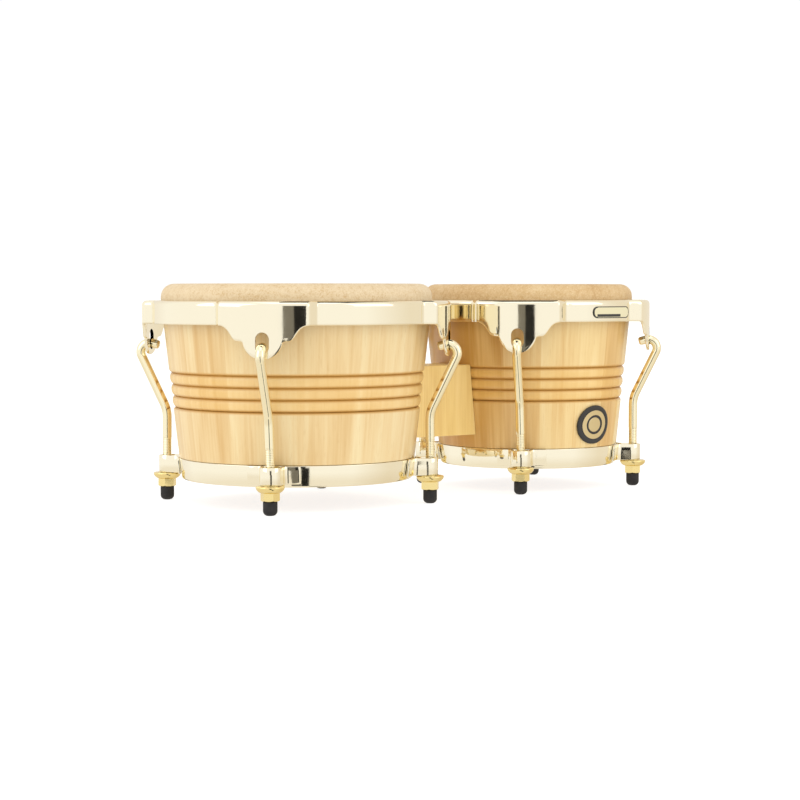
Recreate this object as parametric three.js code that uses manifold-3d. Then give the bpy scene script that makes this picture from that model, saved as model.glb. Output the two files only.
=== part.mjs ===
// Bongo drums: two open-bottomed wooden shells joined by a centre block.  Each shell carries a natural-skin
// head held by a flesh hoop and a pressed steel rim with four ears.  Four hooked tuning rods pull the rim down
// against lugs on the bottom ring, and a flange nut on each rod does the pulling.  Rubber caps on the rod ends
// are the feet.  Millimetres, +Z up, z = 0 at the feet, +X from the hembra (large drum) to the macho (small).
import * as THREE from "three";
import { mergeVertices } from "three/addons/utils/BufferGeometryUtils.js";
import Module from "manifold-3d";

const wasm = await Module();
wasm.setup();

// ---- driving dimensions -------------------------------------------------------------------------------------
const CENTRE_DISTANCE = 233;        // between the two drum axes
const FIT_GAP = 0.3;                // clearance between separate pieces

// headR: over the skin.  earR: outside of the ears.  shellR: outside of the shell at z = 150.  taper: shell radius
// lost per mm going down.  rodR: circle that the rods stand on.  lugTurn and rimTurn: lugs and ears turned from the
// 45 degree diagonals.
const HEMBRA = {
  name: "hembra", headR: 104.5, earR: 118.5, shellR: 103.6, taper: 0.113, rodR: 103.4, lugTurn: 0, rimTurn: -1.2,
};
const MACHO = {
  name: "macho", headR: 87.3, earR: 101.7, shellR: 86.0, taper: 0.101, rodR: 88.3, lugTurn: 1.2, rimTurn: 0,
};

const LUG_ANGLES = [-135, -45, 45, 135];   // degrees from +X, one lug, ear, rod, nut and foot at each
const DRUM_SEGMENTS = 36;
const RIM_SEGMENTS = 96;

const HEAD_TOP = 168;
const SKIN = 1.2;
const HEAD_SKIRT_BOTTOM = 143.2;
const HEAD_EDGE_START = 158;        // the skin turns over the bearing edge above this height

const SHELL_BOTTOM = 21.6;
const SHELL_WALL = 12;
const GROOVE_TOP = 100.5;
const GROOVE_PITCH = 8.83;
const GROOVE_COUNT = 4;
// Half of a groove's section: distance from its middle and how deep the beads' round sides lie there.
const GROOVE_SECTION = [[2.8, 0], [1.4, 0.8], [0, 2.6]];
const TAPER_DATUM = 150;

const RING_BOTTOM = 19;
const RING_TOP = 35;
const RING_SHEET = 2.3;
const RING_LIP = 8;                 // width of the lip turned in under the shell

const RIM_BAND = 6.5;               // outside of the rim's band, beyond the skin
const RIM_SHEET = 2.5;
const RIM_TOP = 155.2;
const RIM_BOTTOM = 137.6;
const RIM_LIP = 3.7;                // thickness of the lip that presses on the flesh hoop
const EAR_FLAT = 33;                // half width of an ear's plate, which is curved about the drum's axis
const EAR_SPREAD = 38;              // half width where the ear's flanks meet the band
const EAR_LOBE_R = 15;
const EAR_BOTTOM = 113.2;
const EAR_SHELF_Z = 125.2;
const EAR_SHOULDER = 21;
const EAR_SHOULDER_Z = 127.4;
const EAR_EDGE_END = 33;            // half width where the ear's lower edge meets the band's
const FLANK_SHIFT = 1.8;            // the flanks' inner faces stand this much nearer the ear's middle
const EAR_COLUMNS = [0, 5, 10, 14.7, 18.5, 22, 27, 33, 35.5, 38]; // wall columns, from an ear's middle
const SLOT_WIDTH = 9.5;
const SLOT_BOTTOM = 117.8;
const SLOT_TOP = 132.4;

const HOOP_WIDTH = 3.2;
const HOOP_BOTTOM = 144;

const ROD_R = 3.55;
const ROD_BOTTOM = 3.4;
const HOOK_R = 7.2;                 // centreline radius of the hook
const HOOK_TOP = 122.2;             // centreline height over the ear
const HOOK_OUT = 6.1;               // hook's outermost centreline, beyond the ear
const HOOK_TIP = 6.1;               // straight tip beyond the bend
const HOOK_DROOP = 15;              // degrees that the tip points down
const ROD_SLANT = 26;               // degrees from vertical between the two bends
const ROD_UPRIGHT = 36;             // height up to which a rod stands straight over its lug
const ROD_BEND_R = 25;

const LUG_BOTTOM = 21.7;
const LUG_TOP = 35;
const LUG_SHEET = 2.2;
const LUG_FRONT_R = 7.1;            // centreline radius of the lug's rounded front
const LUG_FOOT = 20;                // half width over the lug's two welded feet

const NUT_TOP = 21.4;
const NUT_BOTTOM = 10.5;
const NUT_FLANGE_R = 10.6;
const NUT_FLANGE_EDGE = 1.4;
const NUT_NECK_R = 7.4;
const NUT_NECK_Z = 16.9;
const NUT_ACROSS_FLATS = 12.4;

const FOOT_R = 5.3;
const FOOT_TOP = 10.2;
const FOOT_ROUND = 3;
const FOOT_FLOOR = 3.1;

const BLOCK_WIDTH = 42;
const BLOCK_BOTTOM = 46;
const BLOCK_TOP = 103;

const BOLT_HEIGHTS = { upper: 88, lower: 61 };
const BOLT_R = 4;
const BOLT_HOLE_R = 4.4;
const WASHER_R = 10;
const WASHER_THICK = 1.6;
const SPOT_FACE_R = 11.5;
const SPOT_FACE_INSET = 9.4;        // from the shell's outside to the flat that a washer seats on
const BOLT_HEAD_R = 7.5;
const BOLT_HEAD_THICK = 5;
const BOLT_NUT_ACROSS_FLATS = 13;
const BOLT_NUT_THICK = 6.5;
const BOLT_END = 3;

const BADGE_HALF_WIDTH = 17.5;
const BADGE_HALF_HEIGHT = 15.7;
const BADGE_THICK = 1.5;
const BADGE_GAP = 0.45;
const BADGE_Z = 54;
const BADGE_AZIMUTH = -86;          // degrees from +X about the macho's axis

// ---- materials ----------------------------------------------------------------------------------------------
const shellWood = () => new THREE.MeshStandardMaterial({ color: 0xe8c389, roughness: 0.45, metalness: 0 });
const blockWood = () => new THREE.MeshStandardMaterial({ color: 0xe3b872, roughness: 0.5, metalness: 0 });
const skin = () => new THREE.MeshStandardMaterial({ color: 0xe3c999, roughness: 0.65, metalness: 0 });
const goldPlate = () => new THREE.MeshStandardMaterial({ color: 0xe9d59a, roughness: 0.15, metalness: 1 });
const zincSteel = () => new THREE.MeshStandardMaterial({ color: 0xb9bcc0, roughness: 0.35, metalness: 1 });
const blackRubber = () => new THREE.MeshStandardMaterial({ color: 0x2a2927, roughness: 0.8, metalness: 0 });
const badgeMetal = () => new THREE.MeshStandardMaterial({ color: 0x3a3836, roughness: 0.35, metalness: 0.6 });

// ---- shared geometry ----------------------------------------------------------------------------------------
const radians = THREE.MathUtils.degToRad;
const vec2 = (pairs) => pairs.map(([r, z]) => new THREE.Vector2(r, z));

// A solid of revolution about Z from (radius, height) points, listed counter-clockwise.
function turned(pairs, segments) {
  return new THREE.LatheGeometry(vec2(pairs), segments).rotateX(Math.PI / 2);
}

function solid(geometry) {
  const bare = new THREE.BufferGeometry();
  bare.setAttribute("position", geometry.getAttribute("position"));
  if (geometry.index) bare.setIndex(geometry.index);
  const merged = mergeVertices(bare, 1e-4);
  const vertProperties = new Float32Array(merged.getAttribute("position").array);
  const triVerts = new Uint32Array(merged.index.array);
  return new wasm.Manifold(new wasm.Mesh({ numProp: 3, vertProperties, triVerts }));
}

function geometryOf(body) {
  const mesh = body.getMesh();
  const geometry = new THREE.BufferGeometry();
  geometry.setAttribute("position", new THREE.Float32BufferAttribute(mesh.vertProperties, 3));
  geometry.setIndex(new THREE.BufferAttribute(mesh.triVerts, 1));
  return geometry;
}

// A cylinder along X between two x positions.
function rodAlongX(radius, x0, x1, z, segments) {
  const geometry = new THREE.CylinderGeometry(radius, radius, x1 - x0, segments);
  return geometry.rotateZ(Math.PI / 2).translate((x0 + x1) / 2, 0, z);
}

function hexPrism(acrossFlats, height) {
  const shape = new THREE.Shape();
  for (let corner = 0; corner < 6; corner += 1) {
    const angle = radians(60 * corner + 30);
    const radius = acrossFlats / Math.sqrt(3);
    const point = [radius * Math.cos(angle), radius * Math.sin(angle)];
    if (corner === 0) shape.moveTo(...point);
    else shape.lineTo(...point);
  }
  shape.closePath();
  return new THREE.ExtrudeGeometry(shape, { depth: height, bevelEnabled: false });
}

const shellRadius = (drum, z) => Math.min(drum.shellR - drum.taper * (TAPER_DATUM - z), drum.headR - SKIN - 0.4);
const onCircle = (radius, angle) => [radius * Math.cos(radians(angle)), radius * Math.sin(radians(angle))];

// ---- shell: glued staves turned to a cone, four turned grooves, open at the bottom ------------------------------
function shellProfile(drum) {
  const rebate = RING_SHEET + FIT_GAP;
  const outside = [
    [shellRadius(drum, SHELL_BOTTOM) - rebate, SHELL_BOTTOM],
    [shellRadius(drum, RING_TOP) - rebate, RING_TOP + FIT_GAP],
    [shellRadius(drum, RING_TOP), RING_TOP + FIT_GAP],
  ];
  for (let groove = GROOVE_COUNT - 1; groove >= 0; groove -= 1) {
    const middle = GROOVE_TOP - groove * GROOVE_PITCH;
    const below = GROOVE_SECTION.map(([away, depth]) => [middle - away, depth]);
    const above = GROOVE_SECTION.slice(0, -1).reverse().map(([away, depth]) => [middle + away, depth]);
    for (const [z, depth] of [...below, ...above]) {
      outside.push([shellRadius(drum, z) - depth, z]);
    }
  }
  const edge = drum.headR - SKIN - 0.4;
  const bearingEdge = [
    [edge, HEAD_SKIRT_BOTTOM],
    [edge, HEAD_EDGE_START],
    [edge - 3.2, HEAD_EDGE_START + 6.4],
    [edge - 8, HEAD_EDGE_START + 7.6],
  ];
  const inside = [
    [edge - SHELL_WALL, HEAD_EDGE_START],
    [shellRadius(drum, SHELL_BOTTOM) - SHELL_WALL, SHELL_BOTTOM],
  ];
  const loop = [...outside, ...bearingEdge, ...inside];
  return [...loop, loop[0]];
}

// side is +1 when the block stands on the drum's +X side, -1 when it stands on its -X side.
function makeShell(drum, side) {
  let body = solid(turned(shellProfile(drum), DRUM_SEGMENTS));
  for (const z of Object.values(BOLT_HEIGHTS)) {
    const outer = shellRadius(drum, z);
    const hole = rodAlongX(BOLT_HOLE_R, 20, outer + 10, z, 10);
    const spotFace = rodAlongX(SPOT_FACE_R, 20, outer - SPOT_FACE_INSET, z, 14);
    if (side < 0) {
      hole.rotateZ(Math.PI);
      spotFace.rotateZ(Math.PI);
    }
    body = body.subtract(solid(hole)).subtract(solid(spotFace));
  }
  return geometryOf(body);
}

// ---- head: natural skin drawn over the bearing edge --------------------------------------------------------------
function makeHead(drum) {
  const r = drum.headR;
  const outside = [[r, HEAD_SKIRT_BOTTOM], [r, HEAD_TOP - 8.5], [r - 2, HEAD_TOP - 2.4], [r - 7, HEAD_TOP]];
  const inside = [[r - 7.6, HEAD_TOP - SKIN], [r - 3, HEAD_TOP - 3.3], [r - SKIN, HEAD_TOP - 8.7],
    [r - SKIN, HEAD_SKIRT_BOTTOM]];
  return turned([...outside, [0, HEAD_TOP], [0, HEAD_TOP - SKIN], ...inside, outside[0]], DRUM_SEGMENTS);
}

// ---- flesh hoop: flat bar rolled into a ring, under the rim's lip -----------------------------------------------
function makeHoop(drum) {
  const inner = drum.headR + FIT_GAP;
  const top = RIM_TOP - RIM_LIP - FIT_GAP;
  const loop = [[inner, HOOP_BOTTOM], [inner + HOOP_WIDTH, HOOP_BOTTOM], [inner + HOOP_WIDTH, top], [inner, top]];
  return turned([...loop, loop[0]], DRUM_SEGMENTS);
}

// ---- rim: rolled steel band, its lip turned in over the hoop, pressed out into four slotted ears ----------------
const smooth = (s) => s * s * (3 - 2 * s);

// How far the wall is pressed out at a distance t along the band from an ear's middle: 1 on the plate, 0 on the band.
function earShare(t) {
  const s = THREE.MathUtils.clamp((EAR_SPREAD - Math.abs(t)) / (EAR_SPREAD - EAR_FLAT), 0, 1);
  return smooth(s);
}

// Height of the rim's lower edge at a distance t from an ear's middle: lobe, shelf, shoulder, then the band.
function earEdge(t) {
  const across = Math.abs(t);
  if (across < EAR_LOBE_R) {
    const lobe = EAR_BOTTOM + EAR_LOBE_R - Math.sqrt(EAR_LOBE_R ** 2 - across ** 2);
    return Math.min(lobe, EAR_SHELF_Z);
  }
  if (across < EAR_SHOULDER) {
    return THREE.MathUtils.mapLinear(across, EAR_LOBE_R, EAR_SHOULDER, EAR_SHELF_Z, EAR_SHOULDER_Z);
  }
  const s = THREE.MathUtils.clamp((across - EAR_SHOULDER) / (EAR_EDGE_END - EAR_SHOULDER), 0, 1);
  return THREE.MathUtils.lerp(EAR_SHOULDER_Z, RIM_BOTTOM, smooth(s));
}

// Angle from an ear's middle of the wall column that an even spacing would put at a given angle (degrees).
function columnAngle(even, band) {
  const index = Math.round(even / 360 * RIM_SEGMENTS);
  const last = EAR_COLUMNS.length - 1;
  if (index <= last) {
    return Math.asin(EAR_COLUMNS[index] / band);
  }
  return THREE.MathUtils.mapLinear(index, last, RIM_SEGMENTS / 8, Math.asin(EAR_COLUMNS[last] / band), Math.PI / 4);
}

function makeRim(drum) {
  const band = drum.headR + RIM_BAND;
  const lipInner = drum.headR + 0.8;
  const lipBottom = RIM_TOP - RIM_LIP;
  const loop = [[band, RIM_BOTTOM], [band, RIM_TOP - 3.2], [band - 0.8, RIM_TOP - 1], [band - 2.6, RIM_TOP],
    [lipInner, RIM_TOP], [lipInner, lipBottom], [band - RIM_SHEET, lipBottom], [band - RIM_SHEET, RIM_BOTTOM]];
  const geometry = turned([...loop, loop[0]], RIM_SEGMENTS);
  const position = geometry.getAttribute("position");
  for (let i = 0; i < position.count; i += 1) {
    const x = position.getX(i);
    const y = position.getY(i);
    const z = position.getZ(i);
    const radius = Math.hypot(x, y);
    const even = THREE.MathUtils.radToDeg(Math.atan2(y, x));
    const toEar = even - (90 * Math.floor(even / 90) + 45);
    const fromEar = Math.sign(toEar) * columnAngle(Math.abs(toEar), band);
    const earAngle = radians(even - toEar);
    const t = band * Math.sin(fromEar);
    // The sheet keeps its thickness where a flank drops steeply to the band.
    const inside = radius < band - RIM_SHEET + 0.1 ? FLANK_SHIFT : 0;
    const share = radius > lipInner + 0.1 ? earShare(Math.abs(t) + inside) : 0;
    const plate = Math.sqrt((drum.earR - (band - radius)) ** 2 - t * t);
    const height = Math.abs(z - RIM_BOTTOM) < 0.01 ? earEdge(t) : z;
    const out = THREE.MathUtils.lerp(radius * Math.cos(fromEar), plate, share);
    const along = THREE.MathUtils.lerp(radius * Math.sin(fromEar), t, share);
    position.setXYZ(
      i,
      out * Math.cos(earAngle) - along * Math.sin(earAngle),
      out * Math.sin(earAngle) + along * Math.cos(earAngle),
      height,
    );
  }
  let body = solid(geometry);
  for (const angle of LUG_ANGLES) {
    body = body.subtract(solid(makeSlot(drum).rotateZ(radians(angle))));
  }
  return geometryOf(body);
}

// Cutter for an ear's slot, along +X.
function makeSlot(drum) {
  const r = SLOT_WIDTH / 2;
  const shape = new THREE.Shape();
  shape.absarc(0, SLOT_TOP - r, r, 0, Math.PI);
  shape.absarc(0, SLOT_BOTTOM + r, r, Math.PI, 2 * Math.PI);
  shape.closePath();
  const cutter = new THREE.ExtrudeGeometry(shape, { depth: 16, bevelEnabled: false, curveSegments: 6 });
  return cutter.rotateX(Math.PI / 2).rotateZ(Math.PI / 2).translate(drum.headR + 7, 0, 0);
}

// ---- tuning rod: threaded steel rod, cranked outwards and hooked over the ear's slot ----------------------------
class RodCentreline extends THREE.Curve {
  constructor(points) {
    super();
    this.points = points;
  }

  getPoint(t) {
    const place = t * (this.points.length - 1);
    const index = Math.min(Math.floor(place), this.points.length - 2);
    return this.points[index].clone().lerp(this.points[index + 1], place - index);
  }

  getUtoTmapping(u) {
    return u;
  }
}

function makeRod(drum, angle) {
  const slant = radians(ROD_SLANT);
  const hookU = drum.earR + HOOK_OUT - HOOK_R;
  const hookZ = HOOK_TOP - HOOK_R;
  const upperU = hookU + HOOK_R * Math.cos(slant);
  const upperZ = hookZ - HOOK_R * Math.sin(slant);
  const kneeZ = upperZ - (upperU - drum.rodR) / Math.tan(slant);
  const kneeLength = ROD_BEND_R * Math.tan(slant / 2);
  // Each entry is the distance out from the drum's axis, the height, and the share of the turn to the ear.
  const path = [[drum.rodR, ROD_BOTTOM, 0], [drum.rodR, ROD_UPRIGHT, 0]];
  for (const [turn, share] of [[0, 0.45], [0.5, 0.5], [1, 0.55]]) {
    const a = slant * turn;
    path.push([drum.rodR + ROD_BEND_R * (1 - Math.cos(a)), kneeZ - kneeLength + ROD_BEND_R * Math.sin(a), share]);
  }
  for (let a = -ROD_SLANT; a <= 90 + HOOK_DROOP; a += 26) {
    path.push([hookU + HOOK_R * Math.cos(radians(a)), hookZ + HOOK_R * Math.sin(radians(a)), 1]);
  }
  const droop = radians(HOOK_DROOP);
  const last = path[path.length - 1];
  path.push([last[0] - HOOK_TIP * Math.cos(droop), last[1] - HOOK_TIP * Math.sin(droop), 1]);
  const lugAngle = angle + drum.lugTurn;
  const turnToEar = drum.rimTurn - drum.lugTurn;
  const points = path.map(([u, z, share]) => new THREE.Vector3(...onCircle(u, lugAngle + turnToEar * share), z));
  const section = new THREE.Shape();
  section.absarc(0, 0, ROD_R, 0, 2 * Math.PI);
  const line = new RodCentreline(points);
  return new THREE.ExtrudeGeometry(section, {
    steps: points.length - 1, extrudePath: line, curveSegments: 4, bevelEnabled: false,
  });
}

// ---- bottom ring: conical steel band in the shell's rebate, lip turned in under the shell ----------------------
function makeRing(drum) {
  const outer = (z) => shellRadius(drum, z);
  const inner = (z) => shellRadius(drum, z) - RING_SHEET;
  const lipTop = SHELL_BOTTOM - FIT_GAP;
  const loop = [[outer(RING_BOTTOM) - RING_LIP, RING_BOTTOM], [outer(RING_BOTTOM), RING_BOTTOM],
    [outer(RING_TOP), RING_TOP], [inner(RING_TOP), RING_TOP], [inner(lipTop), lipTop],
    [outer(RING_BOTTOM) - RING_LIP, lipTop]];
  return turned([...loop, loop[0]], DRUM_SEGMENTS);
}

// ---- lug: steel strap bent round the rod, both feet welded to the bottom ring ---------------------------------
function makeLug(drum) {
  const footR = shellRadius(drum, LUG_TOP) + FIT_GAP + LUG_SHEET / 2;
  const frontU = drum.rodR + ROD_R + 0.45 + LUG_SHEET / 2 - LUG_FRONT_R;
  const footAngle = Math.asin(LUG_FOOT / footR);
  const heelAngle = Math.asin((LUG_FRONT_R + 5) / footR);
  const half = [
    [footR * Math.cos(footAngle), footR * Math.sin(footAngle)],
    [footR * Math.cos(heelAngle), footR * Math.sin(heelAngle)],
    [footR + 3, LUG_FRONT_R],
  ];
  for (const angle of [90, 60, 30]) {
    half.push([frontU + LUG_FRONT_R * Math.cos(radians(angle)), LUG_FRONT_R * Math.sin(radians(angle))]);
  }
  const mirrored = half.map(([u, v]) => [u, -v]).reverse();
  const line = [...half, [frontU + LUG_FRONT_R, 0], ...mirrored];
  const shape = new THREE.Shape();
  const sides = [1, -1].map((side) => line.map((point, i) => {
    const before = line[Math.max(i - 1, 0)];
    const after = line[Math.min(i + 1, line.length - 1)];
    const along = new THREE.Vector2(after[0] - before[0], after[1] - before[1]).normalize();
    return [point[0] + side * along.y * LUG_SHEET / 2, point[1] - side * along.x * LUG_SHEET / 2];
  }));
  [...sides[0], ...sides[1].reverse()].forEach((point, i) => (i ? shape.lineTo(...point) : shape.moveTo(...point)));
  shape.closePath();
  return new THREE.ExtrudeGeometry(shape, { depth: LUG_TOP - LUG_BOTTOM, bevelEnabled: false })
    .translate(0, 0, LUG_BOTTOM);
}

// ---- flange nut: round flange bearing on the lug's lower edge, hexagon below it --------------------------------
function makeNut() {
  const flange = turned([[0, NUT_NECK_Z], [NUT_NECK_R, NUT_NECK_Z], [NUT_FLANGE_R, NUT_TOP - NUT_FLANGE_EDGE],
    [NUT_FLANGE_R, NUT_TOP], [0, NUT_TOP]], 14);
  const hexagon = hexPrism(NUT_ACROSS_FLATS, NUT_NECK_Z + 0.5 - NUT_BOTTOM).translate(0, 0, NUT_BOTTOM);
  const bore = new THREE.CylinderGeometry(ROD_R + FIT_GAP, ROD_R + FIT_GAP, 30, 10).rotateX(Math.PI / 2)
    .translate(0, 0, NUT_BOTTOM);
  return geometryOf(solid(flange).add(solid(hexagon)).subtract(solid(bore)));
}

// ---- foot: rubber cap pushed on the rod's end ----------------------------------------------------------------
function makeFoot() {
  const bore = ROD_R + FIT_GAP;
  const profile = [[0, 0], [FOOT_R - FOOT_ROUND, 0], [FOOT_R - 0.29 * FOOT_ROUND, 0.29 * FOOT_ROUND],
    [FOOT_R, FOOT_ROUND], [FOOT_R, FOOT_TOP], [bore, FOOT_TOP], [bore, FOOT_FLOOR], [0, FOOT_FLOOR]];
  return turned(profile, 10);
}

// ---- centre block: solid wood, its ends hollowed to sit against both cones -------------------------------------
const drumX = { hembra: 0, macho: CENTRE_DISTANCE };

function makeBlock() {
  const length = CENTRE_DISTANCE - 140;
  const middle = (HEMBRA.shellR + CENTRE_DISTANCE - MACHO.shellR) / 2;
  const height = BLOCK_TOP - BLOCK_BOTTOM;
  let body = solid(new THREE.BoxGeometry(length, BLOCK_WIDTH, height).translate(middle, 0, BLOCK_BOTTOM + height / 2));
  for (const drum of [HEMBRA, MACHO]) {
    const low = BLOCK_BOTTOM - 10;
    const high = BLOCK_TOP + 10;
    const cone = turned([[0, low], [shellRadius(drum, low) + FIT_GAP, low], [shellRadius(drum, high) + FIT_GAP, high],
      [0, high]], DRUM_SEGMENTS);
    body = body.subtract(solid(cone.translate(drumX[drum.name], 0, 0)));
  }
  for (const z of Object.values(BOLT_HEIGHTS)) {
    body = body.subtract(solid(rodAlongX(BOLT_HOLE_R, 0, CENTRE_DISTANCE, z, 10)));
  }
  return geometryOf(body);
}

// ---- through bolts: head in the hembra, nut in the macho, a washer in each spot face ---------------------------
const seatX = {
  hembra: (z) => drumX.hembra + shellRadius(HEMBRA, z) - SPOT_FACE_INSET,
  macho: (z) => drumX.macho - shellRadius(MACHO, z) + SPOT_FACE_INSET,
};

function makeBolt(z) {
  const underHead = seatX.hembra(z) - 2 * FIT_GAP - WASHER_THICK;
  const end = seatX.macho(z) + 2 * FIT_GAP + WASHER_THICK + BOLT_NUT_THICK + BOLT_END;
  const head = turned([[0, 0], [BOLT_HEAD_R, 0], [BOLT_HEAD_R - 1.4, BOLT_HEAD_THICK - 1.4], [3.5, BOLT_HEAD_THICK],
    [0, BOLT_HEAD_THICK]], 12).rotateY(-Math.PI / 2).translate(underHead, 0, z);
  return geometryOf(solid(head).add(solid(rodAlongX(BOLT_R, underHead - 1, end, z, 10))));
}

function makeWasher(x, z) {
  const loop = [[BOLT_HOLE_R, 0], [WASHER_R, 0], [WASHER_R, WASHER_THICK], [BOLT_HOLE_R, WASHER_THICK]];
  return turned([...loop, loop[0]], 12).rotateY(Math.PI / 2).translate(x, 0, z);
}

function makeBoltNut(x, z) {
  const bore = new THREE.CylinderGeometry(BOLT_HOLE_R, BOLT_HOLE_R, 30, 12).rotateX(Math.PI / 2);
  const body = solid(hexPrism(BOLT_NUT_ACROSS_FLATS, BOLT_NUT_THICK)).subtract(solid(bore));
  return geometryOf(body).rotateY(Math.PI / 2).translate(x, 0, z);
}

// ---- badge: slightly oval metal plate bent to the macho's front ------------------------------------------------
function makeBadge() {
  const loop = [[0, 0], [0.5, 0], [1, 0], [1, BADGE_THICK - 0.5], [0.96, BADGE_THICK], [0.5, BADGE_THICK],
    [0, BADGE_THICK]];
  const geometry = turned(loop, 24);
  const position = geometry.getAttribute("position");
  for (let i = 0; i < position.count; i += 1) {
    const height = BADGE_Z + BADGE_HALF_HEIGHT * position.getY(i);
    const face = shellRadius(MACHO, height) + BADGE_GAP;
    const turn = THREE.MathUtils.radToDeg(BADGE_HALF_WIDTH * position.getX(i) / face);
    position.setXYZ(i, ...onCircle(face + position.getZ(i), BADGE_AZIMUTH + turn), height);
  }
  return geometry;
}

// ---- assembly -------------------------------------------------------------------------------------------------
const bongos = new THREE.Group();
const OVERALL_CENTRE = (CENTRE_DISTANCE + MACHO.headR - HEMBRA.headR) / 2;

function addPiece(parent, name, geometry, material) {
  const mesh = new THREE.Mesh(geometry, material);
  mesh.name = name;
  parent.add(mesh);
  return mesh;
}

function addDrum(drum, side) {
  const group = new THREE.Group();
  group.position.x = drumX[drum.name] - OVERALL_CENTRE;
  bongos.add(group);
  addPiece(group, `${drum.name}_shell`, makeShell(drum, side), shellWood());
  addPiece(group, `${drum.name}_head`, makeHead(drum), skin());
  addPiece(group, `${drum.name}_flesh_hoop`, makeHoop(drum), zincSteel());
  addPiece(group, `${drum.name}_rim`, makeRim(drum), goldPlate()).rotation.z = radians(drum.rimTurn);
  addPiece(group, `${drum.name}_bottom_ring`, makeRing(drum), goldPlate());
  LUG_ANGLES.forEach((angle, i) => {
    const lugAngle = angle + drum.lugTurn;
    const [x, y] = onCircle(drum.rodR, lugAngle);
    addPiece(group, `${drum.name}_lug_${i + 1}`, makeLug(drum), goldPlate()).rotation.z = radians(lugAngle);
    addPiece(group, `${drum.name}_rod_${i + 1}`, makeRod(drum, angle), goldPlate());
    addPiece(group, `${drum.name}_nut_${i + 1}`, makeNut(), goldPlate()).position.set(x, y, 0);
    addPiece(group, `${drum.name}_foot_${i + 1}`, makeFoot(), blackRubber()).position.set(x, y, 0);
  });
  return group;
}

addDrum(HEMBRA, 1);
const machoGroup = addDrum(MACHO, -1);
addPiece(machoGroup, "macho_badge", makeBadge(), badgeMetal());

const joinery = new THREE.Group();
joinery.position.x = -OVERALL_CENTRE;
bongos.add(joinery);
addPiece(joinery, "centre_block", makeBlock(), blockWood());
for (const [place, z] of Object.entries(BOLT_HEIGHTS)) {
  const washerIn = seatX.hembra(z) - FIT_GAP - WASHER_THICK;
  const washerOut = seatX.macho(z) + FIT_GAP;
  addPiece(joinery, `${place}_bolt`, makeBolt(z), zincSteel());
  addPiece(joinery, `${place}_bolt_washer_hembra`, makeWasher(washerIn, z), zincSteel());
  addPiece(joinery, `${place}_bolt_washer_macho`, makeWasher(washerOut, z), zincSteel());
  addPiece(joinery, `${place}_bolt_nut`, makeBoltNut(washerOut + WASHER_THICK + FIT_GAP, z), zincSteel());
}

export default bongos;
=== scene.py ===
import math

import bmesh
import bpy
from mathutils import Matrix, Vector


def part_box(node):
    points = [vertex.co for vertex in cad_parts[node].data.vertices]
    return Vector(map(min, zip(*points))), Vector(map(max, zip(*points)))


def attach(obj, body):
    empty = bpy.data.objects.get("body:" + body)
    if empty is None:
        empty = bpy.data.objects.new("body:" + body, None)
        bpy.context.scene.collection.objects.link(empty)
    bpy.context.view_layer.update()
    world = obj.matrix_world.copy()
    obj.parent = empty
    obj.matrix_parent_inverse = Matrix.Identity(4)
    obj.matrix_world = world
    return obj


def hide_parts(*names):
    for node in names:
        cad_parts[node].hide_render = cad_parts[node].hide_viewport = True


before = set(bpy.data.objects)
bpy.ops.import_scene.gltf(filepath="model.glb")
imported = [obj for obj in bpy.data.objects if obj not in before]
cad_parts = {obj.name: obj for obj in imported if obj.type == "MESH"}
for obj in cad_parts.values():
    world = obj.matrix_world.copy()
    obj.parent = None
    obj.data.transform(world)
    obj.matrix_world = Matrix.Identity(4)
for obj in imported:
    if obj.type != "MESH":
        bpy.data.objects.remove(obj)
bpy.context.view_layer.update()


# ---- shells ----------------------------------------------------------------------------
# Rubberwood staves glued edge to edge, turned to a cone and clear lacquered. Four grooves leave three round
# beads in the middle; the top is rounded over as a bearing edge and the foot is rebated for the ring.
# Inside, flat spot faces take the washers of the bolts that go through to the centre block.
MM = 0.001
DRUMS = {
    "hembra": {"head": 104.5, "ear": 118.5, "shell": 103.6, "taper": 0.113, "joined": 1},
    "macho": {"head": 87.3, "ear": 101.7, "shell": 86.0, "taper": 0.101, "joined": -1},
}
for drum_name, drum in DRUMS.items():
    low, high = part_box(f"{drum_name}_bottom_ring")
    drum["axis"] = (low.x + high.x) / 2 / MM

SHELL_FOOT, SHELL_TOP, SHELL_WALL = 21.6, 165.6, 12
SKIN_ROOM = 1.6          # the skin, and the air under it, outside the bearing edge
BEARING_ROUND = 7.6
RING_TOP = 35
REBATE = 2.6
FIT_GAP = 0.3            # between a piece and the wood that it is fitted to
GROOVE_LOW, GROOVE_PITCH, GROOVES = 74.01, 8.83, 4
GROOVE_DEPTH, GROOVE_EDGE, GROOVE_STEP = 2.7, 2.6, 0.2
BOLT_HEIGHTS = {"upper": 88, "lower": 61}
BOLT_HOLE, SPOT_FACE, SPOT_DEPTH = 4.4, 11.5, 9.4
STAVES = 17


def linear(hex_colour):
    """An sRGB hex colour as linear RGBA."""
    parts = [int(hex_colour[i:i + 2], 16) / 255 for i in (1, 3, 5)]
    return tuple(c / 12.92 if c <= 0.04045 else ((c + 0.055) / 1.055) ** 2.4 for c in parts) + (1.0,)


def add_node(tree, kind, inputs=(), **settings):
    """Adds one shader node; inputs gives a socket its value, or the node or output that feeds it."""
    node = tree.nodes.new("ShaderNode" + kind)
    for name, value in settings.items():
        setattr(node, name, value)
    for name, value in dict(inputs).items():
        if isinstance(value, bpy.types.Node):
            value = value.outputs[0]
        if isinstance(value, bpy.types.NodeSocket):
            tree.links.new(value, node.inputs[name])
        else:
            node.inputs[name].default_value = value
    return node


def new_finish(name, **sockets):
    """A material with its node tree and its Principled shader, whose plain sockets are set here."""
    material = bpy.data.materials.new(name)
    material.use_nodes = True
    surface = material.node_tree.nodes["Principled BSDF"]
    for socket, value in sockets.items():
        surface.inputs[socket.replace("_", " ")].default_value = value
    return material, material.node_tree, surface


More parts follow.
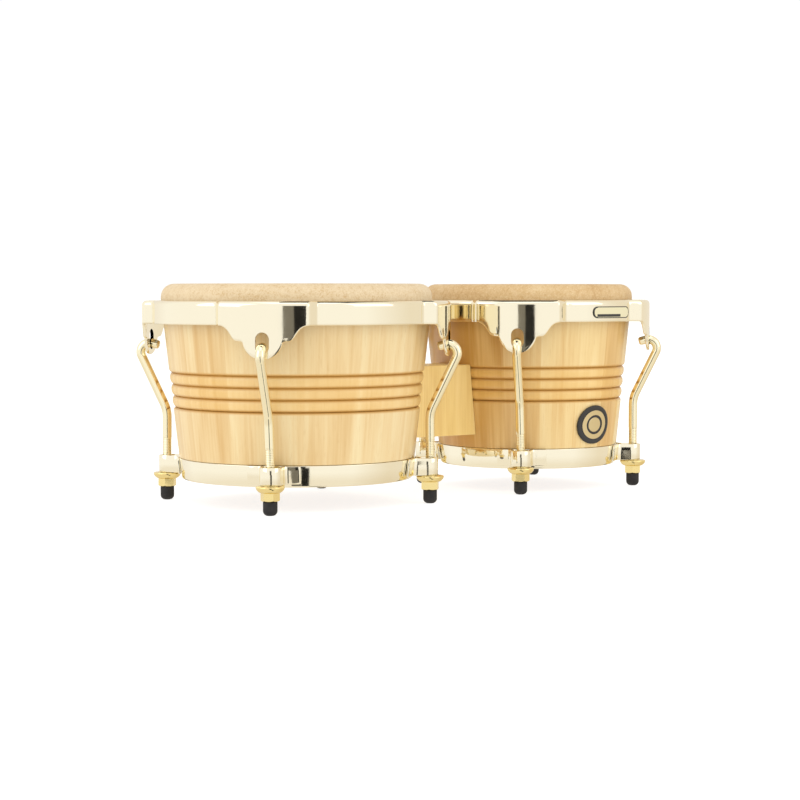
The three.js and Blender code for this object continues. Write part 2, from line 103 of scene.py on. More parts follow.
def colour_ramp(tree, source, stops):
    """A ramp through (position, sRGB hex) stops."""
    ramp = add_node(tree, "ValToRGB", {"Fac": source})
    elements = ramp.color_ramp.elements
    while len(elements) < len(stops):
        elements.new(0.5)
    for element, (position, colour) in zip(elements, stops):
        element.position = position
        element.color = linear(colour)
    return ramp.outputs["Color"]


def turned(profile, steps=180):
    """A closed profile of (radius, height) points spun about Z."""
    bm = bmesh.new()
    verts = [bm.verts.new((r, 0, z)) for r, z in profile]
    edges = [bm.edges.new(pair) for pair in zip(verts, verts[1:] + verts[:1])]
    bmesh.ops.spin(bm, geom=verts + edges, axis=(0, 0, 1), cent=(0, 0, 0), dvec=(0, 0, 0), angle=2 * math.pi,
                   steps=steps, use_merge=True, use_duplicate=False)
    bmesh.ops.remove_doubles(bm, verts=bm.verts, dist=1e-4)
    bmesh.ops.delete(bm, geom=[e for e in bm.edges if not e.link_faces], context="EDGES")
    bmesh.ops.recalc_face_normals(bm, faces=bm.faces)
    return bm


def arc(centre_r, centre_z, radius, start, end, count=5):
    """Points of a profile's rounded corner, between two angles in degrees."""
    angles = [math.radians(start + (end - start) * i / count) for i in range(count + 1)]
    return [(centre_r + radius * math.cos(a), centre_z + radius * math.sin(a)) for a in angles]


def combined(bm, others, operation):
    """bm with the other meshes cut from it or joined to it by an exact boolean."""
    parts = []
    for mesh_in in [bm, *others]:
        mesh = bpy.data.meshes.new("part")
        mesh_in.to_mesh(mesh)
        mesh_in.free()
        part = bpy.data.objects.new("part", mesh)
        bpy.context.scene.collection.objects.link(part)
        parts.append(part)
    for other in parts[1:]:
        step = parts[0].modifiers.new("step", "BOOLEAN")
        step.object, step.operation, step.solver = other, operation, "EXACT"
    made = bpy.data.meshes.new_from_object(parts[0].evaluated_get(bpy.context.evaluated_depsgraph_get()))
    result = bmesh.new()
    result.from_mesh(made)
    for part in parts:
        bpy.data.objects.remove(part)
    return result


def make_piece(name, bm, finish, body, nodes, x=0, turn=0, smooth=34):
    """Turns and places a mesh in mm, shades it, and gives it to its body in the place of its CAD nodes."""
    bmesh.ops.rotate(bm, verts=bm.verts, cent=(0, 0, 0), matrix=Matrix.Rotation(math.radians(turn), 3, "Z"))
    bmesh.ops.translate(bm, verts=bm.verts, vec=(x, 0, 0))
    bmesh.ops.scale(bm, verts=bm.verts, vec=(MM, MM, MM))
    for face in bm.faces:
        face.smooth = True
    for edge in bm.edges:
        edge.smooth = edge.is_manifold and edge.calc_face_angle(0) < math.radians(smooth)
    mesh = bpy.data.meshes.new(name)
    bm.to_mesh(mesh)
    bm.free()
    for material in finish if isinstance(finish, list) else [finish]:
        mesh.materials.append(material)
    piece = bpy.data.objects.new(name, mesh)
    bpy.context.scene.collection.objects.link(piece)
    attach(piece, body)
    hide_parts(*nodes)
    return piece


def shell_radius(drum, z):
    return min(drum["shell"] - drum["taper"] * (150 - z), drum["head"] - SKIN_ROOM)


def groove_depth(z):
    """How deep the belt is turned at a height: round beads that meet in four narrow grooves."""
    place = (z - GROOVE_LOW) / GROOVE_PITCH
    nearest = min(max(round(place), 0), GROOVES - 1)
    away = abs(place - nearest) * GROOVE_PITCH
    inside_belt = 0 < place < GROOVES - 1
    reach = GROOVE_PITCH / 2 if inside_belt else GROOVE_EDGE
    return GROOVE_DEPTH * (1 - math.sqrt(1 - max(1 - away / reach, 0) ** 2)) if away < reach else 0


def lacquered_rubberwood(name, axis_mm, first_stave, painted_shade_azimuth, pale, straw, honey, tan):
    """Pale straight-grained wood under a satin lacquer: each stave has its own tone, with fine upright fibres
    and short dark pores. The staves round the given azimuth, on the side towards the other drum, are darkened
    as painted shade. The belt is more golden, partly from its lacquer and partly as painted warm bounce
    light, and browner in its grooves as painted shade."""
    material, tree, surface = new_finish(name, Roughness=0.42, IOR=1.5, Coat_Weight=0.35,
                                         Coat_Roughness=0.16, Coat_IOR=1.5)
    place = add_node(tree, "TexCoord").outputs["Object"]
    centred = add_node(tree, "Mapping", {"Vector": place, "Location": (-axis_mm * MM, 0, 0)})
    axes = add_node(tree, "SeparateXYZ", {0: centred})
    azimuth = add_node(tree, "Math", {0: axes.outputs["Y"], 1: axes.outputs["X"]}, operation="ARCTAN2")
    # The staves are 37 mm wide on the hembra and 31 mm on the macho.
    staves = add_node(tree, "Math", {0: azimuth, 1: STAVES / (2 * math.pi), 2: first_stave},
                      operation="MULTIPLY_ADD")
    stave = add_node(tree, "Math", {0: staves}, operation="FLOOR")
    stave_tone = add_node(tree, "TexWhiteNoise", {"W": stave}, noise_dimensions="1D")
    # Grain is laid out on the shell's own surface: arc length across, at a radius of 90 mm, height along,
    # and a new board for each stave.
    across = add_node(tree, "Math", {0: azimuth, 1: 90 * MM}, operation="MULTIPLY")
    board = add_node(tree, "CombineXYZ", {"X": across, "Y": stave, "Z": axes.outputs["Z"]})
    # Broad figure: bands 12 mm across that run 150 mm up the board.
    figure_place = add_node(tree, "Mapping", {"Vector": board, "Scale": (1 / 0.012, 3.7, 1 / 0.15)})
    figure = add_node(tree, "TexNoise", {"Vector": figure_place, "Scale": 1.0, "Detail": 2.0,
                                         "Distortion": 0.6})
    # Fibres: 1.6 mm across, drawn a little coarser than the real ones so that they show, and 60 mm long.
    fibre_place = add_node(tree, "Mapping", {"Vector": board, "Scale": (1 / 0.0016, 5.3, 1 / 0.06)})
    fibre = add_node(tree, "TexNoise", {"Vector": fibre_place, "Scale": 1.0, "Detail": 3.0,
                                        "Roughness": 0.6})
    # Pores: dark flecks 1.1 mm across and 9 mm long, coarser than the real ones so that they show.
    pore_place = add_node(tree, "Mapping", {"Vector": board, "Scale": (1 / 0.0011, 7.1, 1 / 0.009)})
    pore = add_node(tree, "TexNoise", {"Vector": pore_place, "Scale": 1.0, "Detail": 1.0})
    pore_mask = add_node(tree, "MapRange", {"Value": pore, "From Min": 0.6, "From Max": 0.78,
                                            "To Min": 0.0, "To Max": 1.0})
    tone = add_node(tree, "Math", {0: stave_tone, 1: 0.3, 2: -0.06}, operation="MULTIPLY_ADD")
    tone = add_node(tree, "Math", {0: figure, 1: 0.75, 2: tone}, operation="MULTIPLY_ADD")
    tone = add_node(tree, "Math", {0: fibre, 1: 0.3, 2: tone}, operation="MULTIPLY_ADD")
    # Painted shade: the staves round the given azimuth, on the side towards the other drum, are darkened as
    # if that drum shaded them.
    from_painted_shade_side = add_node(tree, "Math", {0: azimuth, 1: math.radians(painted_shade_azimuth)}, operation="SUBTRACT")
    facing = add_node(tree, "Math", {0: from_painted_shade_side}, operation="COSINE")
    painted_shade_darkening = add_node(tree, "MapRange", {"Value": facing, "From Min": 0.45, "From Max": 0.95,
                                         "To Min": 0.0, "To Max": 0.27})
    tone = add_node(tree, "Math", {0: painted_shade_darkening, 1: tone})
    wood = colour_ramp(tree, tone, [(0.2, pale), (0.42, straw), (0.64, honey), (0.88, tan)])
    pores = add_node(tree, "MixRGB", {"Fac": pore_mask, "Color1": wood, "Color2": linear("#c79a5c")})
    pores_soft = add_node(tree, "MixRGB", {"Fac": 0.2, "Color1": wood, "Color2": pores})
    # Painted shade in the grooves: the distance from the nearest groove, for heights inside the belt.
    height = add_node(tree, "Math", {0: axes.outputs["Z"], 1: GROOVE_LOW * MM}, operation="SUBTRACT")
    place_in_belt = add_node(tree, "Math", {0: height, 1: GROOVE_PITCH * MM}, operation="DIVIDE")
    clamped = add_node(tree, "Clamp", {"Value": place_in_belt, "Min": 0.0, "Max": GROOVES - 1.0})
    nearest = add_node(tree, "Math", {0: clamped}, operation="ROUND")
    away = add_node(tree, "Math", {0: place_in_belt, 1: nearest}, operation="SUBTRACT")
    away = add_node(tree, "Math", {0: away}, operation="ABSOLUTE")
    painted_groove_shade = add_node(tree, "MapRange", {"Value": away, "From Min": 0.03, "From Max": 0.27,
                                          "To Min": 0.9, "To Max": 0.0}, interpolation_type="SMOOTHSTEP")
    past_belt = add_node(tree, "Math", {0: place_in_belt, 1: clamped}, operation="SUBTRACT")
    past_belt = add_node(tree, "Math", {0: past_belt}, operation="ABSOLUTE")
    belt = add_node(tree, "MapRange", {"Value": past_belt, "From Min": 0.0, "From Max": 0.3,
                                       "To Min": 0.42, "To Max": 0.0})
    # The belt's golden tint is partly its lacquer and partly painted warm bounce light; the grooves' brown is
    # painted shade.
    golden = add_node(tree, "MixRGB", {"Fac": belt, "Color1": pores_soft, "Color2": linear("#e8b75c")})
    grooved = add_node(tree, "MixRGB", {"Fac": painted_groove_shade, "Color1": golden, "Color2": linear("#c08f42")})
    tree.links.new(grooved.outputs[0], surface.inputs["Base Color"])
    relief = add_node(tree, "Math", {0: fibre, 1: pore_mask}, operation="SUBTRACT")
    bump = add_node(tree, "Bump", {"Height": relief, "Strength": 0.06, "Distance": 0.0002})
    tree.links.new(bump.outputs[0], surface.inputs["Normal"])
    return material


# The fourth argument is the azimuth of the painted shade, on the side of each shell towards the other drum.
SHELL_FINISH = {
    "hembra": lacquered_rubberwood("lacquered_rubberwood_hembra", DRUMS["hembra"]["axis"], 0.35, -20,
                                   "#f0deb4", "#e9d4a2", "#e3c68f", "#d4ac6c"),
    "macho": lacquered_rubberwood("lacquered_rubberwood_macho", DRUMS["macho"]["axis"], 3.8, 175,
                                  "#efd8a2", "#e8ca8c", "#dcb470", "#c59448"),
}


def cylinder_along_x(radius, start, end, z, segments=40):
    bm = bmesh.new()
    bmesh.ops.create_cone(bm, cap_ends=True, segments=segments, radius1=radius, radius2=radius,
                          depth=end - start)
    bmesh.ops.rotate(bm, verts=bm.verts, cent=(0, 0, 0), matrix=Matrix.Rotation(math.pi / 2, 3, "Y"))
    bmesh.ops.translate(bm, verts=bm.verts, vec=((start + end) / 2, 0, z))
    return bm


for drum_name, drum in DRUMS.items():
    edge = drum["head"] - SKIN_ROOM
    step, step_z = shell_radius(drum, RING_TOP), RING_TOP + FIT_GAP
    outside = [(shell_radius(drum, SHELL_FOOT) - REBATE, SHELL_FOOT), (step - REBATE, step_z),
               (step - 0.3, step_z), (step, RING_TOP + 2 * FIT_GAP)]
    outside += [(shell_radius(drum, z), z) for z in (48, 60)]
    z = GROOVE_LOW - 3.2
    while z < GROOVE_LOW + (GROOVES - 1) * GROOVE_PITCH + 3.3:
        outside.append((shell_radius(drum, z) - groove_depth(z), z))
        z += GROOVE_STEP
    outside += [(shell_radius(drum, z), z) for z in (106, 118, 132, 143)]
    outside += [(edge, 150), *arc(edge - BEARING_ROUND, SHELL_TOP - BEARING_ROUND, BEARING_ROUND, 0, 90, 6)]
    inside = [(edge - SHELL_WALL, 165.2), (edge - SHELL_WALL - 0.4, 158),
              (shell_radius(drum, SHELL_FOOT) - SHELL_WALL, SHELL_FOOT)]
    cutters = []
    for z in BOLT_HEIGHTS.values():
        outer = shell_radius(drum, z)
        for radius, reach in ((BOLT_HOLE, outer + 10), (SPOT_FACE, outer - SPOT_DEPTH)):
            cutter = cylinder_along_x(radius, 20, reach, z)
            bmesh.ops.rotate(cutter, verts=cutter.verts, cent=(0, 0, 0),
                             matrix=Matrix.Rotation(0 if drum["joined"] > 0 else math.pi, 3, "Z"))
            cutters.append(cutter)
    shell = combined(turned(outside + inside), cutters, "DIFFERENCE")
    make_piece(f"{drum_name}_stave_shell", shell, SHELL_FINISH[drum_name], "frame",
               [f"{drum_name}_shell"], x=drum["axis"], smooth=30)


# ---- bottom rings ----------------------------------------------------------------------
# Rolled steel cones, polished and gold plated, pressed into the shell's rebate so that they lie flush with
# the wood. The bottom edge is turned in under the shell.
RING_FOOT, RING_SHEET, RING_LIP = 19, 2.3, 8
RING_LIP_TOP = SHELL_FOOT - FIT_GAP


def gold_plated_steel(name, colour, roughness, wave=0.02, wave_mm=30):
    """Polished steel under a thin pale gold plate: nearly a mirror, warm white where it mirrors white, with
    the slight waves of polishing on a wheel and a faint film that varies its gloss."""
    material, tree, surface = new_finish(name, Metallic=1.0, Base_Color=linear(colour))
    place = add_node(tree, "TexCoord").outputs["Object"]
    # The film varies over 14 mm, and the polishing waves are wave_mm apart.
    film = add_node(tree, "TexNoise", {"Vector": place, "Scale": 1 / 0.014, "Detail": 4.0})
    gloss = add_node(tree, "MapRange", {"Value": film, "From Min": 0.3, "From Max": 0.7,
                                        "To Min": roughness * 0.75, "To Max": roughness * 1.3})
    tree.links.new(gloss.outputs[0], surface.inputs["Roughness"])
    waves = add_node(tree, "TexNoise", {"Vector": place, "Scale": 1 / (wave_mm * MM), "Detail": 0.0})
    bump = add_node(tree, "Bump", {"Height": waves, "Strength": wave, "Distance": 0.01})
    tree.links.new(bump.outputs[0], surface.inputs["Normal"])
    return material


GOLD_PLATE = gold_plated_steel("gold_plated_steel", "#faf1d7", 0.07)
for drum_name, drum in DRUMS.items():
    foot, top = shell_radius(drum, RING_FOOT), shell_radius(drum, RING_TOP)
    profile = [(foot - RING_LIP, RING_FOOT), *arc(foot - 1.4, RING_FOOT + 1.4, 1.4, -90, 0, 5),
               *arc(top - 0.5, RING_TOP - 0.5, 0.5, 0, 90, 3),
               *arc(top - RING_SHEET + 0.4, RING_TOP - 0.4, 0.4, 90, 180, 3),
               (shell_radius(drum, RING_LIP_TOP) - RING_SHEET, RING_LIP_TOP), (foot - RING_LIP, RING_LIP_TOP)]
    make_piece(f"{drum_name}_rolled_ring", turned(profile, 240), GOLD_PLATE, "frame",
               [f"{drum_name}_bottom_ring"], x=drum["axis"], smooth=40)


# ---- lugs ------------------------------------------------------------------------------
# A steel strap is bent round each rod and its two feet are welded to the bottom ring, then plated with it.
# The flange nut bears on the strap's lower edge.
LUG_ANGLES = (-135, -45, 45, 135)
LUG_FOOT, LUG_TOP, LUG_SHEET = 21.7, 35, 2.2
LUG_FRONT, LUG_HEEL, LUG_SPREAD = 8.2, 3.2, 20
ROD_CLEARANCE = 0.45
ROD_CIRCLE = {"hembra": 103.4, "macho": 88.3}
LUG_TURN = {"hembra": 0, "macho": 1.2}
ROD_RADIUS = 3.55

for drum_name, drum in DRUMS.items():
    foot_radius = shell_radius(drum, LUG_TOP) + FIT_GAP + LUG_SHEET
    front = ROD_CIRCLE[drum_name] + ROD_RADIUS + ROD_CLEARANCE + LUG_SHEET - LUG_FRONT
    heel_y = LUG_FRONT + LUG_HEEL
    heel = math.asin(heel_y / foot_radius)
    toe = math.asin(LUG_SPREAD / foot_radius)
    half = [(foot_radius * math.cos(a), foot_radius * math.sin(a))
            for a in (toe + (heel - toe) * i / 4 for i in range(5))]
    half += arc(half[-1][0] + LUG_HEEL, heel_y, LUG_HEEL, 180 + 15, 270, 6)
    half += arc(front, 0, LUG_FRONT, 90, 0, 14)
    line = half + [(u, -v) for u, v in reversed(half[:-1])]
    for i, angle in enumerate(LUG_ANGLES, 1):
        bm = bmesh.new()
        verts = [bm.verts.new((u, v, LUG_FOOT)) for u, v in line]
        edges = [bm.edges.new(pair) for pair in zip(verts, verts[1:])]
        raised = bmesh.ops.extrude_edge_only(bm, edges=edges)["geom"]
        bmesh.ops.translate(bm, verts=[v for v in raised if isinstance(v, bmesh.types.BMVert)],
                            vec=(0, 0, LUG_TOP - LUG_FOOT))
        bmesh.ops.recalc_face_normals(bm, faces=bm.faces)
        # The strap is solidified inwards, so its front has to face out.
        if max(bm.faces, key=lambda f: f.calc_center_median().x).normal.x < 0:
            bmesh.ops.reverse_faces(bm, faces=bm.faces)
        bmesh.ops.solidify(bm, geom=list(bm.faces), thickness=LUG_SHEET)
        bmesh.ops.recalc_face_normals(bm, faces=bm.faces)
        # The feet are dressed to the ring's cone.
        for vert in bm.verts:
            share = min(max((foot_radius + 3 - vert.co.x) / 3, 0), 1)
            vert.co.x -= share * drum["taper"] * (LUG_TOP - vert.co.z)
        rims = [e for e in bm.edges if e.calc_face_angle(0) > math.radians(60)]
        bmesh.ops.bevel(bm, geom=rims, offset=0.45, affect="EDGES", segments=2, profile=0.5, material=-1)
        make_piece(f"{drum_name}_strap_lug_{i}", bm, GOLD_PLATE, "frame",
                   [f"{drum_name}_lug_{i}"], x=drum["axis"], turn=angle + LUG_TURN[drum_name])


# ---- centre block ----------------------------------------------------------------------
# One solid block of the same wood with a warmer lacquer, its ends hollowed to sit against both cones and
# its long edges just broken with sandpaper. Two bolts go through it.
block_low, block_high = (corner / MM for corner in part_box("centre_block"))

BLOCK_WOOD, tree, surface = new_finish("lacquered_block_wood", Roughness=0.45, IOR=1.5, Coat_Weight=0.3,
                                       Coat_Roughness=0.2, Coat_IOR=1.5)
place = add_node(tree, "TexCoord").outputs["Object"]
# Growth rings about 10 mm apart that wander slowly up the block, and fibres 1.5 mm across and 50 mm long.
rings_place = add_node(tree, "Mapping", {"Vector": place, "Scale": (1 / 0.011, 1 / 0.009, 1 / 0.12)})
rings = add_node(tree, "TexNoise", {"Vector": rings_place, "Scale": 1.0, "Detail": 2.0, "Distortion": 0.8})
fibres_place = add_node(tree, "Mapping", {"Vector": place, "Scale": (1 / 0.0015, 1 / 0.0015, 1 / 0.05)})
fibres = add_node(tree, "TexNoise", {"Vector": fibres_place, "Scale": 1.0, "Detail": 3.0})
tone = add_node(tree, "Math", {0: fibres, 1: 0.45, 2: 0.0}, operation="MULTIPLY_ADD")
tone = add_node(tree, "Math", {0: rings, 1: 0.7, 2: tone}, operation="MULTIPLY_ADD")
tree.links.new(colour_ramp(tree, tone, [(0.3, "#f8da96"), (0.55, "#f1cf80"), (0.8, "#e4bc6b")]),
               surface.inputs["Base Color"])
bump = add_node(tree, "Bump", {"Height": fibres, "Strength": 0.1, "Distance": 0.0002})
tree.links.new(bump.outputs[0], surface.inputs["Normal"])

block = bmesh.new()
bmesh.ops.create_cube(block, size=1)
size = block_high - block_low
bmesh.ops.scale(block, verts=block.verts, vec=(size.x + 30, size.y, size.z))
bmesh.ops.translate(block, verts=block.verts, vec=(block_low + block_high) / 2)
long_edges = [e for e in block.edges if abs((e.verts[0].co - e.verts[1].co).x) > 1]
bmesh.ops.bevel(block, geom=long_edges, offset=1.0, affect="EDGES", segments=3, profile=0.5, material=-1)
hollows = []
for drum in DRUMS.values():
    bottom, top = block_low.z - 10, block_high.z + 10
    cone = turned([(0, bottom), (shell_radius(drum, bottom) + FIT_GAP, bottom),
                   (shell_radius(drum, top) + FIT_GAP, top), (0, top)])
    bmesh.ops.translate(cone, verts=cone.verts, vec=(drum["axis"], 0, 0))
    hollows.append(cone)
for z in BOLT_HEIGHTS.values():
    hollows.append(cylinder_along_x(BOLT_HOLE, block_low.x - 20, block_high.x + 20, z))
make_piece("joining_block", combined(block, hollows, "DIFFERENCE"), BLOCK_WOOD, "frame",
           ["centre_block"], smooth=30)


# ---- through bolts ---------------------------------------------------------------------
# Two zinc-plated carriage bolts clamp hembra, block and macho: domed heads inside the hembra, hexagon nuts
# inside the macho, a plain washer under each.
ZINC, tree, surface = new_finish("zinc_plated_steel", Metallic=1.0, Base_Color=linear("#c3c6c8"))
place = add_node(tree, "TexCoord").outputs["Object"]
# Spangle of the zinc, in patches of 2 mm.
spangle = add_node(tree, "TexNoise", {"Vector": place, "Scale": 1 / 0.002, "Detail": 2.0})
gloss = add_node(tree, "MapRange", {"Value": spangle, "From Min": 0.3, "From Max": 0.7,
                                    "To Min": 0.26, "To Max": 0.42})
tree.links.new(gloss.outputs[0], surface.inputs["Roughness"])


def along_x(bm, x, z):
    """Turns a mesh made about Z so that its axis runs along X, from x at a height."""
    bmesh.ops.rotate(bm, verts=bm.verts, cent=(0, 0, 0), matrix=Matrix.Rotation(math.pi / 2, 3, "Y"))
    bmesh.ops.translate(bm, verts=bm.verts, vec=(x, 0, z))
    return bm


def hexagon(across_flats, start, end, chamfer):
    """A hexagonal bar's length with its corners taken off by the usual turned chamfer."""
    corner = across_flats / math.sqrt(3)
    bm = bmesh.new()
    bmesh.ops.create_cone(bm, cap_ends=True, segments=6, radius1=corner, radius2=corner, depth=end - start)
    bmesh.ops.translate(bm, verts=bm.verts, vec=(0, 0, (start + end) / 2))
    face, slope = across_flats / 2 - chamfer * 0.4, chamfer * 1.3
    cone = turned([(0, start), (face, start), (corner + 0.6, start + slope), (corner + 0.6, end - slope),
                   (face, end), (0, end)], 48)
    return combined(bm, [cone], "INTERSECT")


for place_name, z in BOLT_HEIGHTS.items():
    bolt_low, bolt_high = (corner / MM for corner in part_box(f"{place_name}_bolt"))
    length = bolt_high.x - bolt_low.x
    shank = [(4, 4.6), (4, length - 0.8), (3.2, length), (0, length)]
    dome = [(0, 0), (2.6, 0.25), (4.8, 1.1), (6.5, 2.6), (7.3, 4.2), (7.5, 5)]
    bolt = along_x(turned(dome + [(4, 5)] + shank, 40), bolt_low.x, z)
    make_piece(f"{place_name}_carriage_bolt", bolt, ZINC, "frame", [f"{place_name}_bolt"])
    for drum_name in DRUMS:
        node = f"{place_name}_bolt_washer_{drum_name}"
        profile = [(BOLT_HOLE, 0), *arc(9.7, 0.3, 0.3, -90, 0, 2), *arc(9.7, 1.3, 0.3, 0, 90, 2),
                   (BOLT_HOLE, 1.6)]
        washer = along_x(turned(profile, 40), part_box(node)[0].x / MM, z)
        make_piece(f"{place_name}_plain_washer_{drum_name}", washer, ZINC, "frame", [node])
    nut_low, nut_high = (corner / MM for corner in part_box(f"{place_name}_bolt_nut"))
    bore = turned([(0, -2), (BOLT_HOLE, -2), (BOLT_HOLE, 9), (0, 9)], 40)
    nut = combined(hexagon(13, 0, nut_high.x - nut_low.x, 0.8), [bore], "DIFFERENCE")
    make_piece(f"{place_name}_hexagon_nut", along_x(nut, nut_low.x, z), ZINC, "frame",
               [f"{place_name}_bolt_nut"])


# ---- badge -----------------------------------------------------------------------------
# A slightly oval plate stamped from thin sheet, in black enamel with a plain pale gold ring and centre left
# raised. It is bent to the macho's front, a little to one side of it, and glued on.
BADGE_HALF_WIDTH, BADGE_HALF_HEIGHT = 17.5, 15.7
BADGE_HEIGHT, BADGE_AZIMUTH, BADGE_GAP = 54, -86, 0.45

# The enamel is satin, and faintly pitted about 1 mm apart.
BLACK_ENAMEL, tree, surface = new_finish("black_enamel", Base_Color=linear("#2b2927"), Roughness=0.38,
                                         IOR=1.5)
place = add_node(tree, "TexCoord").outputs["Object"]
grain = add_node(tree, "TexNoise", {"Vector": place, "Scale": 1 / 0.0012, "Detail": 2.0})
bump = add_node(tree, "Bump", {"Height": grain, "Strength": 0.05, "Distance": 0.0002})
tree.links.new(bump.outputs[0], surface.inputs["Normal"])


def bent_to_shell(bm, drum, half_width, half_height, height, azimuth, gap):
    """Bends a plate of unit radius, made about Z, to a shell's cone: X goes round the cone, Y up it."""
    for vert in bm.verts:
        z = height + half_height * vert.co.y
        face = shell_radius(drum, z) + gap
        angle = math.radians(azimuth) + half_width * vert.co.x / face
        radius = face + vert.co.z
        vert.co = Vector((radius * math.cos(angle), radius * math.sin(angle), z))
    return bm


# From the middle of the back, round the edge and over the raised border, ring and centre.
profile = [(0, 0), (0.25, 0), (0.5, 0), (0.75, 0), (1, 0), (1, 0.9), (0.99, 1.2), (0.975, 1.4), (0.955, 1.5),
           (0.84, 1.5), (0.8, 1.15), (0.765, 1.15), (0.74, 1.5), (0.63, 1.5), (0.5, 1.5), (0.48, 1.15),
           (0.38, 1.15), (0.36, 1.5), (0.18, 1.5), (0, 1.5)]
badge = turned(profile, 96)
for face in badge.faces:
    middle = face.calc_center_median()
    radius = math.hypot(middle.x, middle.y)
    face.material_index = 1 if middle.z > 1.2 and (radius < 0.37 or 0.49 < radius < 0.75) else 0
bent_to_shell(badge, DRUMS["macho"], BADGE_HALF_WIDTH, BADGE_HALF_HEIGHT, BADGE_HEIGHT, BADGE_AZIMUTH,
              BADGE_GAP)
# The brushed face of the gold is satin, with scratches about 1 mm apart.
BADGE_GOLD, tree, surface = new_finish("stamped_gold_plate", Metallic=1.0, Base_Color=linear("#e3cf9f"),
                                       Roughness=0.42)
place = add_node(tree, "TexCoord").outputs["Object"]
brushed = add_node(tree, "TexNoise", {"Vector": place, "Scale": 1 / 0.001, "Detail": 2.0})
bump = add_node(tree, "Bump", {"Height": brushed, "Strength": 0.08, "Distance": 0.0002})
tree.links.new(bump.outputs[0], surface.inputs["Normal"])
make_piece("macho_round_badge", badge, [BLACK_ENAMEL, BADGE_GOLD], "frame", ["macho_badge"],
           x=DRUMS["macho"]["axis"])


# ---- heads -----------------------------------------------------------------------------
# Natural rawhide soaked, lapped round the flesh hoop and dried taut over the bearing edge. It is matt,
# cream to tan, mottled by the hide and speckled with hair follicles.
HEAD_TOP, HEAD_SKIRT, SKIN_THICK = 168, 143.2, 1.2


def rawhide(name, pale, cream, tan):
    """Dried hide: hardly any gloss, clouds 25 mm wide, mottling near 3 mm and follicles near 1 mm."""
    material, tree, surface = new_finish(name, Roughness=0.62, IOR=1.45)
    place = add_node(tree, "TexCoord").outputs["Object"]
    clouds = add_node(tree, "TexNoise", {"Vector": place, "Scale": 1 / 0.025, "Detail": 3.0,
                                         "Roughness": 0.6})
    mottle = add_node(tree, "TexNoise", {"Vector": place, "Scale": 1 / 0.003, "Detail": 3.0,
                                         "Roughness": 0.7})
    speckle = add_node(tree, "TexNoise", {"Vector": place, "Scale": 1 / 0.0011, "Detail": 2.0})
    tone = add_node(tree, "Math", {0: mottle, 1: 0.45, 2: 0.0}, operation="MULTIPLY_ADD")
    tone = add_node(tree, "Math", {0: clouds, 1: 0.4, 2: tone}, operation="MULTIPLY_ADD")
    tone = add_node(tree, "Math", {0: speckle, 1: 0.5, 2: tone}, operation="MULTIPLY_ADD")
    colour = colour_ramp(tree, tone, [(0.5, pale), (0.7, cream), (0.88, tan)])
    tree.links.new(colour, surface.inputs["Base Color"])
    bump = add_node(tree, "Bump", {"Height": mottle, "Strength": 0.25, "Distance": 0.0004})
    tree.links.new(bump.outputs[0], surface.inputs["Normal"])
    return material


HIDE = {"hembra": rawhide("rawhide_hembra", "#e6d2b0", "#dcc49c", "#cbaa7a"),
        "macho": rawhide("rawhide_macho", "#dfc496", "#d3b17e", "#c09660")}
for drum_name, drum in DRUMS.items():
    r = drum["head"]
    over = [(r - 10.5 + 10 * math.cos(a), HEAD_TOP - 9.5 + 9.5 * math.sin(a))
            for a in (math.radians(10 * i) for i in range(10))]
    under = [(r - 10.8 + 9.1 * math.cos(a), HEAD_TOP - 9.7 + 8.5 * math.sin(a))
             for a in (math.radians(90 - 10 * i) for i in range(10))]
    profile = [(r, HEAD_SKIRT), (r, 151), *over, (0, HEAD_TOP), (0, HEAD_TOP - SKIN_THICK), *under,
               (r - SKIN_THICK, 151), (r - SKIN_THICK, HEAD_SKIRT)]
    make_piece(f"{drum_name}_skin_head", turned(profile, 200), HIDE[drum_name], "frame",
               [f"{drum_name}_head"], x=drum["axis"], smooth=50)


# ---- flesh hoops -----------------------------------------------------------------------
# Flat zinc-plated bar rolled into a ring and welded. It lies on the hide under the rim's lip, out of sight,
# and takes the pull of the rim to the skin.
for drum_name, drum in DRUMS.items():
    inner, outer = drum["head"] + 0.3, drum["head"] + 3.5
    profile = [(inner, 144), *arc(outer - 0.5, 144.5, 0.5, -90, 0, 3),
               *arc(outer - 0.5, 150.7, 0.5, 0, 90, 3), (inner, 151.2)]
    make_piece(f"{drum_name}_rolled_hoop", turned(profile, 180), ZINC, f"{drum_name}_tension_set",
               [f"{drum_name}_flesh_hoop"], x=drum["axis"])


# ---- rims ------------------------------------------------------------------------------
# A pressed steel hoop with a lip turned in over the flesh hoop. Four broad ears are pressed out of the
# band, each ending in a round lobe with a slot for a rod's hook. Polished and gold plated; the edges are
# rolled smooth.
RIM_BAND, RIM_SHEET, RIM_LIP_GAP = 6.5, 2.5, 0.8
RIM_TOP, RIM_EDGE, RIM_LIP_FOOT = 155.2, 137.6, 151.5
RIM_ROUND = 3.4
EAR_PLATE, EAR_SPREAD, FLANK_SHIFT = 32.0, 38.0, 1.8
LOBE_RADIUS, LOBE_HEIGHT = 15, 128.2
EAR_COLUMNS, SECTOR_COLUMNS = 62, 80
SLOT_WIDTH, SLOT_LOW, SLOT_HIGH = 9.5, 117.8, 132.4
# Each step of the slot's cutter: how far out from the plate's face, and how far it is widened there.
SLOT_FLARE = [(-5.0, 2.5), (-2.6, 0.72), (-2.25, 0.25), (-1.8, 0), (-0.7, 0), (-0.35, 0.1), (-0.12, 0.3),
              (0.02, 0.62), (0.3, 1.1)]
RIM_TURN = {"hembra": -1.2, "macho": 0}


